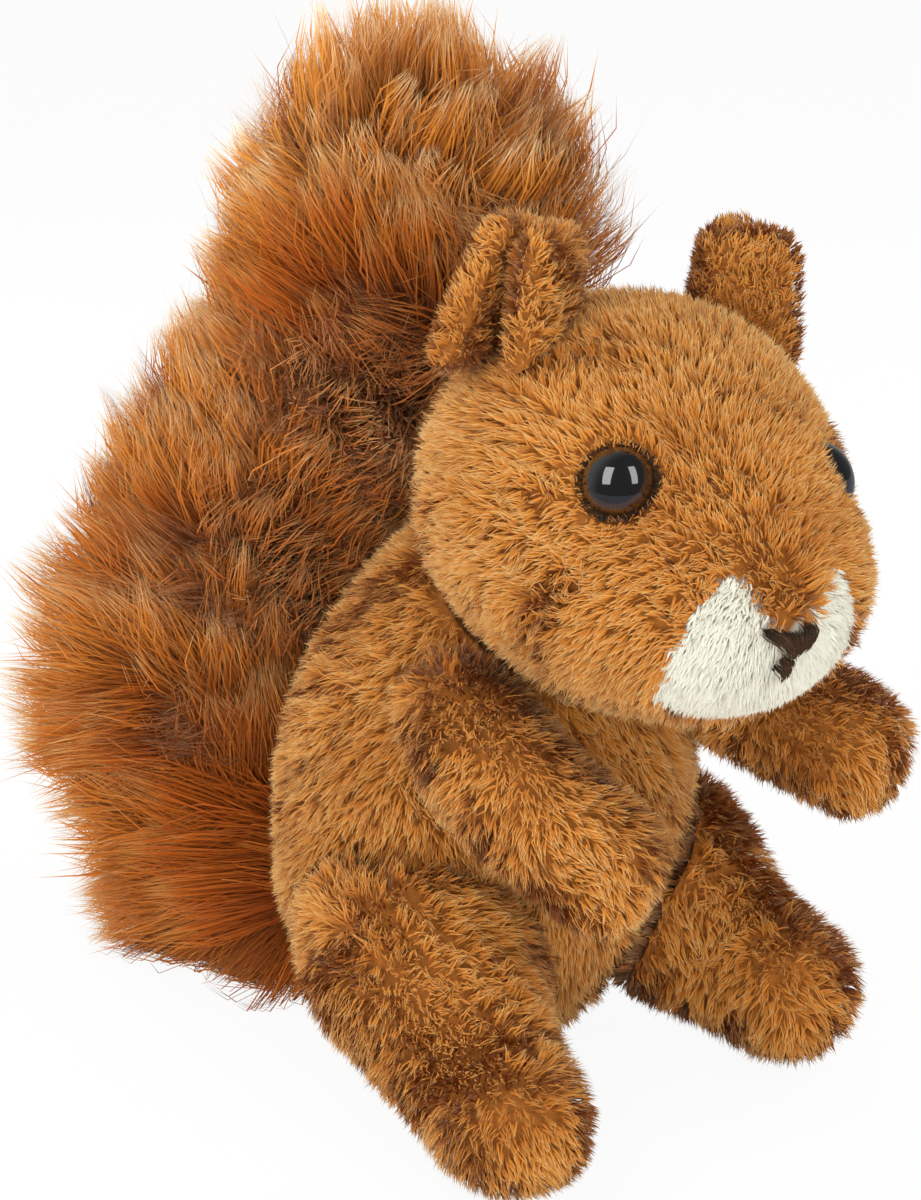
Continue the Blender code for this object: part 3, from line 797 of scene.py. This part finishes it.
class SQUIRREL_OT_tail_pile(bpy.types.Operator):
    """Grows the long silky pile of the tail, in pointed tufts"""

    bl_idname = "squirrel.tail_pile"
    bl_label = "Tail pile"

    def execute(self, context):
        sizes = context.scene.plush_sizes
        skin = SKINS["tail"]
        rng = np.random.default_rng(7)
        low, high = box_of("tail")
        route = low + (high - low) * np.array(TAIL_ROUTE)
        roots, normals = skin.scatter(rng, math.sqrt(skin.areas().sum() / sizes.tail_tufts))
        ahead, progress = self.route_at(roots, route)
        away = np.array([0.0, 1.0, -0.1])
        away = unit(away - dot(ahead, away) * ahead)
        facing = dot(normals, away)
        front = smoothstep(-facing, -0.1, 0.8)
        top = smoothstep(progress, 0.80, 0.97)[:, None]
        silk = (1 - smoothstep(facing, 0.15, 0.65)) * (1 - 0.6 * top)
        swirl, fine_swirl = Swirl(21, 0.034), Swirl(22, 0.014)
        comb = away * (1 - front) * (1 - 0.55 * top) + ahead * (0.40 + 0.35 * front + 0.5 * top)
        comb += normals * 0.26
        wander = swirl(roots) * 0.24 + fine_swirl(roots) * 0.14
        wander += rng.normal(size=roots.shape) * (0.095 - 0.045 * silk)
        comb = unit(comb + wander)
        rise = unit(normals * (0.65 + 0.45 * front) + comb * 0.8)
        neighbours = ("body", "head", "leg_left", "leg_right", "ear_left", "ear_right")
        pressing = [SKINS[name] for name in neighbours]
        crowded = self.turn_aside(roots, rise, comb, pressing, sizes.tail_length)
        waist = np.exp(-(((progress - 0.60) / 0.20) ** 2))
        lengths = sizes.tail_length * (1 - 0.2 * crowded) * (1 - 0.16 * waist)
        lengths *= 1 + 0.10 * swirl(roots * 1.3)[:, 0].clip(-1, 1)
        lengths *= rng.uniform(0.78, 1.16, len(roots))
        lengths *= 1 - 0.20 * top[:, 0]
        lengths *= 1 - 0.12 * facing[:, 0].clip(0, 1)
        # Painted rim light: tufts that face away from the camera stand at the tail's outline and are lighter.
        # Tufts are also lighter towards the top of the tail
        tints = 0.29 + 0.40 * facing[:, 0].clip(-0.2, 1) + 0.48 * top[:, 0]
        tints += 0.12 * swirl(roots * 1.7)[:, 1]
        tints += rng.normal(size=len(roots)) * 0.07
        made, outward = self.tufts(rng, roots, normals, rise, comb, silk, lengths, tints, sizes)
        pressed = self.press(made[0], pressing)
        # Painted shade: hair pressed against a neighbouring skin, between the tail and the body, head, legs
        # and ears, is darker
        made[3] = np.clip(made[3] - 0.22 * smoothstep(pressed, 0.001, 0.008), 0, 1)
        material = self.material(sizes)
        order = np.argsort(made[0][:, 0, 2], kind="stable")
        for number, chosen in enumerate(np.array_split(order, 3)):
            strands = [values[chosen] for values in made]
            grow(f"tail_pile_{number + 1}", strands, outward[chosen], TAIL_SOFTNESS, material)
        return {"FINISHED"}

    def material(self, sizes):
        # The tail's hair: darker roots and paler tips, partly its own colour and partly painted shade deep in
        # the pile and painted light on the tips
        lower, upper = shade(sizes.tail_brown, 0.82), shade(sizes.tail_brown, 1.08)
        stops = [(0.0, sizes.tail_roots), (0.4, lower), (0.75, upper), (1.0, sizes.tail_tips)]
        return pile_material("tail_pile", stops, (0.72, 0.46, 0.22), (1.22, 1.48, 2.0), 0.5)

    def press(self, paths, skins):
        """Lays hair against the skins that it runs into, curls all hair, and says how far it was pushed."""
        first_margin, last_margin = 2.0 * MILLIMETRE, 1.6 * MILLIMETRE
        curl_size = 0.0003
        before = paths.copy()
        chosen = np.ones(paths.shape[:2], bool)
        chosen[:, 0] = False
        push_out(paths, skins, first_margin, chosen)
        pressed = np.linalg.norm(paths - before, axis=2).max(1)
        bent = pressed > 0.001
        paths[bent, 1:-1] = paths[bent, 1:-1] * 0.4 + (paths[bent, :-2] + paths[bent, 2:]) * 0.3
        push_out(paths, skins, last_margin, chosen & bent[:, None])
        curl = Swirl(23, 0.009)(paths.reshape(-1, 3)).reshape(paths.shape)
        level = np.linspace(0, 1, paths.shape[1])[None, :, None]
        paths += curl * level**1.5 * curl_size
        np.maximum(paths[..., 2], TAIL_PILE_LIFT, out=paths[..., 2])
        return pressed

    def turn_aside(self, roots, rise, comb, skins, length):
        """Turns hair that would run into a skin so that it passes beside it, and says how crowded it is."""
        margin = 0.006
        reach = roots + (rise * 0.4 + comb * 0.3) * length
        crowded = np.zeros(len(roots))
        for skin in skins:
            for index in np.flatnonzero(within(reach, skin.low, skin.high, margin)):
                gap, normal = skin.gap(reach[index])
                share = min(max((margin - gap) / 0.008, 0.0), 1.0)
                crowded[index] = max(crowded[index], share)
                for ways in (rise, comb):
                    into = min(ways[index] @ normal, 0.0)
                    ways[index] = unit(ways[index] + (0.08 - into) * share * normal)
        return crowded

    def route_at(self, points, route):
        """The direction of the tail's route nearest to each point, and how far along it lies."""
        samples = np.concatenate([np.linspace(a, b, 12, endpoint=False) for a, b in zip(route, route[1:])])
        ways = unit(np.gradient(samples, axis=0))
        nearest = np.linalg.norm(points[:, None] - samples[None], axis=2).argmin(1)
        return ways[nearest], nearest / len(samples)

    def tufts(self, rng, roots, normals, rise, comb, silk, lengths, tints, sizes):
        """Tufts that open above the core, bend over with the comb and close to a point."""
        strands = sizes.tail_strands
        count = len(roots) * strands
        rows = (roots, normals, rise, comb, silk)
        roots, normals, rise, comb, silk = (np.repeat(a, strands, axis=0) for a in rows)
        lengths, tints = np.repeat(lengths, strands), np.repeat(tints, strands)
        loose = (rng.random((count, 1)) < 0.10) * 1.0
        across = unit(np.cross(normals, comb))
        upright = unit(np.cross(comb, across))
        spread = rng.normal(size=(count, 2)) * 0.0016
        offset = across * spread[:, :1] + upright * spread[:, 1:]
        stray = rng.normal(size=(count, 3)) * (0.00022 + 0.0008 * loose)
        lengths = (lengths * (1 - 0.30 * rng.random(count) ** 2))[:, None]
        # Where a point lies along its strand, and how open the tuft is there, for most and for loose strands
        stages = (
            (0.0, 1.0, 1.0),
            (0.4, 1.45, 1.5),
            (0.72, 1.10 + 0.35 * silk, 1.7),
            (1.0, 0.20 + 0.60 * silk, 1.9),
        )
        steps = []
        for level, closed, free in stages:
            course = rise * (level - level**2 / 2) + comb * level**2 / 2
            opened = closed + (free - closed) * loose
            droop = DOWN * 0.06 * level**2 * lengths
            steps.append(roots + offset * opened + course * lengths + stray * level**1.5 + droop)
        paths = np.stack(steps, axis=1)
        sides = sideways(rng, comb, normals, math.radians(55), strands)
        widths = sizes.tail_width * rng.uniform(0.6, 1.3, count)
        outward = unit(normals + comb * 0.35)
        return [paths, sides, widths, np.clip(tints + rng.normal(size=count) * 0.03, 0, 1)], outward


class SQUIRREL_OT_eyes(bpy.types.Operator):
    """Models the glossy domed eyes, with the black felt fibres around them"""

    bl_idname = "squirrel.eyes"
    bl_label = "Eyes"

    def execute(self, context):
        anatomy = Anatomy()
        stops = [(0.0, (0.012, 0.008, 0.006)), (1.0, (0.035, 0.02, 0.012))]
        black = pile_material("black_fibres", stops, (0.6, 0.6, 0.6), (2.2, 1.5, 1.2), 0.6)
        for side, (top, axis, radius) in anatomy.eyes.items():
            dome, rim = 0.72 * radius, 0.96 * radius
            place = Vector(top - axis * dome)
            pose = Matrix.Translation(place) @ Vector(axis).to_track_quat("Z", "Y").to_matrix().to_4x4()
            deselect()
            bpy.ops.mesh.primitive_uv_sphere_add(segments=64, ring_count=40, radius=1)
            eye = bpy.context.object
            eye.name = f"eye_{side}_dome"
            eye.data.transform(pose @ Matrix.Diagonal((rim, rim, dome, 1)))
            eye.data.shade_smooth()
            eye.data.materials.append(self.eye_material(f"eye_{side}_plastic", pose, radius))
            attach(eye, ROOT)
            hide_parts(f"eye_{side}")
            self.fibres(side, top, axis, radius, black)
        return {"FINISHED"}

    def eye_material(self, name, pose, radius):
        """A black pupil in a dark brown iris under a clear, polished dome."""
        looks = Looks(name, 0.3, specular_ior_level=0.05, coat_weight=1.0, coat_roughness=0.02, coat_ior=1.95)
        turned = pose.inverted()
        sockets = {"Vector": looks.place(), "Location": turned.translation, "Rotation": turned.to_euler()}
        local = looks.node("ShaderNodeMapping", {"vector_type": "POINT"}, sockets)
        flat = looks.node("ShaderNodeVectorMath", {"operation": "MULTIPLY"}, {0: local, 1: (1, 1, 0)})
        distance = looks.node("ShaderNodeVectorMath", {"operation": "LENGTH"}, {0: flat}, output="Value")
        share = distance / radius
        grain = looks.noise(local, 900.0, 3.0)
        iris = looks.mix(grain, (0.020, 0.007, 0.003, 1), (0.048, 0.018, 0.005, 1))
        rim = looks.mix(share.step(0.86, 1.0), iris, (0.012, 0.006, 0.004, 1))
        looks.feed("Base Color", looks.mix(share.step(0.70, 0.76), (0.002, 0.002, 0.002, 1), rim))
        return looks.material

    def fibres(self, side, top, axis, radius, material):
        """Ragged black fibres that show around the eye's rim."""
        rng = np.random.default_rng(60 + len(side))
        count = 420
        width = 0.00022
        first = unit(np.cross(axis, [0, 0, 1]))
        second = np.cross(axis, first)
        turn = rng.uniform(0, math.tau, count)
        out = first * np.cos(turn)[:, None] + second * np.sin(turn)[:, None]
        ragged = 0.5 + 0.5 * np.sin(turn * 3 + 1.0) * np.sin(turn * 7 + 2.0)
        ragged = ragged * (0.35 + 0.65 * smoothstep(out @ np.array([0.7, 0.0, -0.7]), -0.4, 0.8))
        base = top - axis * radius * 0.60
        starts = base + out * radius * rng.uniform(0.86, 1.0, (count, 1))
        lengths = (0.0007 + 0.0011 * ragged * rng.random(count))[:, None]
        ways = unit(out + axis * rng.uniform(0.25, 0.75, (count, 1)) + rng.normal(size=(count, 3)) * 0.12)
        middles = starts + ways * lengths * 0.55
        ends = starts + unit(ways + out * 0.4) * lengths
        paths = np.stack([starts, middles, ends], axis=1)
        outward = np.tile(axis, (count, 1))
        sides = sideways(rng, ways, outward, math.radians(60))
        strands = [paths, sides, np.full(count, width), rng.uniform(0, 0.7, count)]
        grow(f"eye_{side}_fibres", strands, outward, FIBRE_SOFTNESS, material)


class SQUIRREL_OT_stitching(bpy.types.Operator):
    """Sews the nose and the mouth with dark thread"""

    bl_idname = "squirrel.stitching"
    bl_label = "Nose and mouth"

    def execute(self, context):
        washer = Looks("washer_plastic", 0.5)
        grain = washer.noise(washer.place(), 300.0)
        washer.feed("Base Color", washer.ramp(grain, [(0, (0.7, 0.7, 0.68)), (1, (0.8, 0.8, 0.78))]))
        for side in SIDES:
            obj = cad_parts[f"eye_washer_{side}"]
            obj.data.materials.clear()
            obj.data.materials.append(washer.material)
        stops = [(0.0, (0.008, 0.005, 0.004)), (1.0, (0.055, 0.026, 0.013))]
        self.sew(pile_material("dark_fibres", stops, (0.6, 0.5, 0.4), (1.8, 1.6, 1.4), 0.6))
        return {"FINISHED"}

    def sew(self, material):
        """Satin stitches in a V for the nose and a short mouth below it, both from loose, uneven threads."""
        rng = np.random.default_rng(77)
        nose_stitches, mouth_stitches = 560, 260
        low, high = box_of("nose")
        lip_low, lip_high = box_of("mouth_stitch")
        low[0] -= 0.0010
        high[0] -= 0.0006
        middle, size = (low + high) / 2, high - low
        apex = np.array([middle[0] - 0.06 * size[0], low[2] + 0.02 * size[2]])
        mouth = np.array([(lip_low[0] + lip_high[0]) / 2 - 0.0006, lip_low[2] + 0.0012])
        share = rng.random(nose_stitches)
        top = high[2] - 0.12 * size[2] * (1 - np.abs(2 * share - 1))
        edge = np.stack([low[0] + share * size[0], top], axis=1)
        line = apex + (mouth - apex) * rng.random(mouth_stitches)[:, None]
        trees = panel_trees() + [solid_tree(node) for node in ("nose", "mouth_stitch", "head")]
        threads = (
            ("nose_thread", "nose", edge, np.tile(apex, (nose_stitches, 1)), 0.00022),
            ("mouth_thread", "mouth_stitch", line + [0, 0.0006], line - [0, 0.0008], 0.00030),
        )
        for name, node, start, end, wander in threads:
            count = len(start)
            jitter = rng.normal(size=(count, 2)) * wander
            reach = rng.uniform(0.35, 1.0, (count, 1))
            loft = rng.random(count)
            points = []
            for number, part in enumerate((0.0, 0.5, 1.0)):
                flat = start + (end - start) * reach * part + jitter
                points.append(self.on_face(flat, trees, 0.0002 + 0.0003 * number + 0.0004 * loft))
            paths = np.stack(points, axis=1)
            outward = np.tile([-0.2, -0.95, 0.1], (count, 1))
            sides = sideways(rng, unit(paths[:, 2] - paths[:, 0]), outward, math.radians(75))
            strands = [paths, sides, rng.uniform(0.00018, 0.00028, count), rng.random(count)]
            piece = grow(name, strands, outward, THREAD_SOFTNESS, material)
            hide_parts(node)

    def on_face(self, flat, trees, lift):
        """Points on the muzzle, seen from the front, raised a little from whatever lies there."""
        before, missed = -0.2, -0.05
        raised = []
        for (x, z), rise in zip(flat, lift):
            hits = [tree.ray_cast(Vector((x, before, z)), Vector((0, 1, 0)))[0] for tree in trees]
            front = min((hit.y for hit in hits if hit is not None), default=missed)
            raised.append((x, front - rise, z))
        return np.array(raised)


class SQUIRREL_OT_stage(bpy.types.Operator):
    """Sets the pale floor, the soft studio lights and the camera"""

    bl_idname = "squirrel.stage"
    bl_label = "Studio"

    def execute(self, context):
        self.floor()
        self.world()
        back, right, up = self.camera(context.scene)
        middle = Vector((0, 0, 0.06))  # of the toy
        # Each lamp's place from the middle, its width, its height and its power
        lamps = {
            "key": (back * 0.44 - right * 0.32 + up * 0.34, 0.22, 0.44, 1.08),
            "fill": (back * 0.45 + right * 0.27 + up * 0.33, 0.17, 0.44, 0.75),
            "low": (back * 0.50 + right * 0.05 - up * 0.05, 0.50, 0.20, 1.4),
            "side": (back * 0.02 - right * 0.52 + up * 0.16, 0.30, 0.40, 0.8),
            "rim_left": (back * -0.34 - right * 0.36 + up * 0.34, 0.30, 0.40, 1.0),
            "rim_right": (back * -0.30 + right * 0.42 + up * 0.28, 0.30, 0.40, 0.9),
            "top": (Vector((0.05, 0.25, 0.55)), 0.50, 0.50, 0.2),
        }
        for name, (offset, width, height, power) in lamps.items():
            lamp = bpy.data.lights.new(name, "AREA")
            lamp.shape = "RECTANGLE"
            lamp.size = width
            lamp.size_y = height
            lamp.energy = power
            facing = offset.normalized()
            level = up.cross(facing).normalized()
            holder = bpy.data.objects.new(name, lamp)
            holder.location = middle + offset
            holder.rotation_mode = "QUATERNION"
            axes = Matrix((level, facing.cross(level), facing)).transposed()
            holder.rotation_quaternion = axes.to_quaternion()
            holder.visible_glossy = name in ("key", "fill")
            context.scene.collection.objects.link(holder)
        context.scene.view_settings.view_transform = "Standard"
        return {"FINISHED"}

    def camera(self, scene):
        """Sets the camera, and returns its axes: back to it, to its right and up."""
        turn, rise, distance = math.radians(37), math.radians(18), 0.48
        right = Vector((math.cos(turn), -math.sin(turn), 0))
        back = Vector((-math.sin(turn) * math.cos(rise), -math.cos(turn) * math.cos(rise), math.sin(rise)))
        up = back.cross(right)
        aim = Vector((0, 0, 0.0675)) - right * 0.003
        data = bpy.data.cameras.new("camera")
        data.lens = 100.5
        data.sensor_width = 36
        data.clip_start = 0.01
        camera = bpy.data.objects.new("camera", data)
        camera.location = aim + back * distance
        camera.rotation_mode = "QUATERNION"
        camera.rotation_quaternion = back.to_track_quat("Z", "Y")
        scene.collection.objects.link(camera)
        scene.camera = camera
        return back, right, up

    def floor(self):
        """A floor of pale paper, which the camera sees as almost white light, and polished eyes as dim."""
        deselect()
        bpy.ops.mesh.primitive_plane_add(size=6, location=(0, 0, 0))
        floor = bpy.context.object
        floor.name = "floor"
        paper = Looks("floor_paper", 0.9, base_color=(0.9, 0.9, 0.9, 1))
        glow = paper.node("ShaderNodeEmission", sockets={"Color": (1, 1, 1, 1)})
        dim = paper.node("ShaderNodeEmission", sockets={"Color": (0.30, 0.31, 0.36, 1)})
        lit = Wire(paper, paper.shader.outputs[0])
        seen = paper.node("ShaderNodeMixShader", sockets={0: paper.ray("Glossy"), 1: lit, 2: dim})
        seen = paper.node("ShaderNodeMixShader", sockets={0: paper.ray("Camera") * 0.93, 1: seen, 2: glow})
        paper.join(seen, paper.tree.nodes["Material Output"].inputs["Surface"])
        floor.data.materials.append(paper.material)

    def world(self):
        """White to the camera, even light on the plush, and in polished eyes dim, but lighter behind."""
        world = bpy.data.worlds.new("studio")
        world.use_nodes = True
        bpy.context.scene.world = world
        sky = Graph(world.node_tree)
        background = sky.tree.nodes["Background"]
        background.inputs["Color"].default_value = (1, 1, 1, 1)
        direction = sky.node("ShaderNodeTexCoord", output="Generated")
        behind = sky.node("ShaderNodeSeparateXYZ", sockets={0: direction}, output="Y")
        sweep = behind.step(0.1, 0.8, 0.12, 0.45)
        polished = sky.ray("Glossy").largest(sky.ray("Transmission"))
        level = sky.node("ShaderNodeMix", sockets={"Factor": polished, "A": 0.60, "B": sweep})
        level = sky.node("ShaderNodeMix", sockets={"Factor": sky.ray("Camera"), "A": level, "B": 1.0})
        sky.join(level, background.inputs["Strength"])


class SQUIRREL_PT_panel(bpy.types.Panel):
    """Lists the steps that dress the squirrel"""

    bl_label = "Plush squirrel"
    bl_idname = "SQUIRREL_PT_panel"
    bl_space_type = "VIEW_3D"
    bl_region_type = "UI"
    bl_category = "Plush squirrel"

    def draw(self, context):
        for operator in OPERATORS:
            self.layout.operator(operator.bl_idname)


OPERATORS = (
    SQUIRREL_OT_skins,
    SQUIRREL_OT_short_pile,
    SQUIRREL_OT_tail_pile,
    SQUIRREL_OT_eyes,
    SQUIRREL_OT_stitching,
    SQUIRREL_OT_stage,
)


def register():
    for kind in (PlushSizes, *OPERATORS, SQUIRREL_PT_panel):
        bpy.utils.register_class(kind)
    bpy.types.Scene.plush_sizes = PointerProperty(type=PlushSizes)


def unregister():
    del bpy.types.Scene.plush_sizes
    for kind in (SQUIRREL_PT_panel, *reversed(OPERATORS), PlushSizes):
        bpy.utils.unregister_class(kind)


def main():
    register()
    for name in ("skins", "short_pile", "tail_pile", "eyes", "stitching", "stage"):
        getattr(bpy.ops.squirrel, name)()


if __name__ == "__main__":
    main()
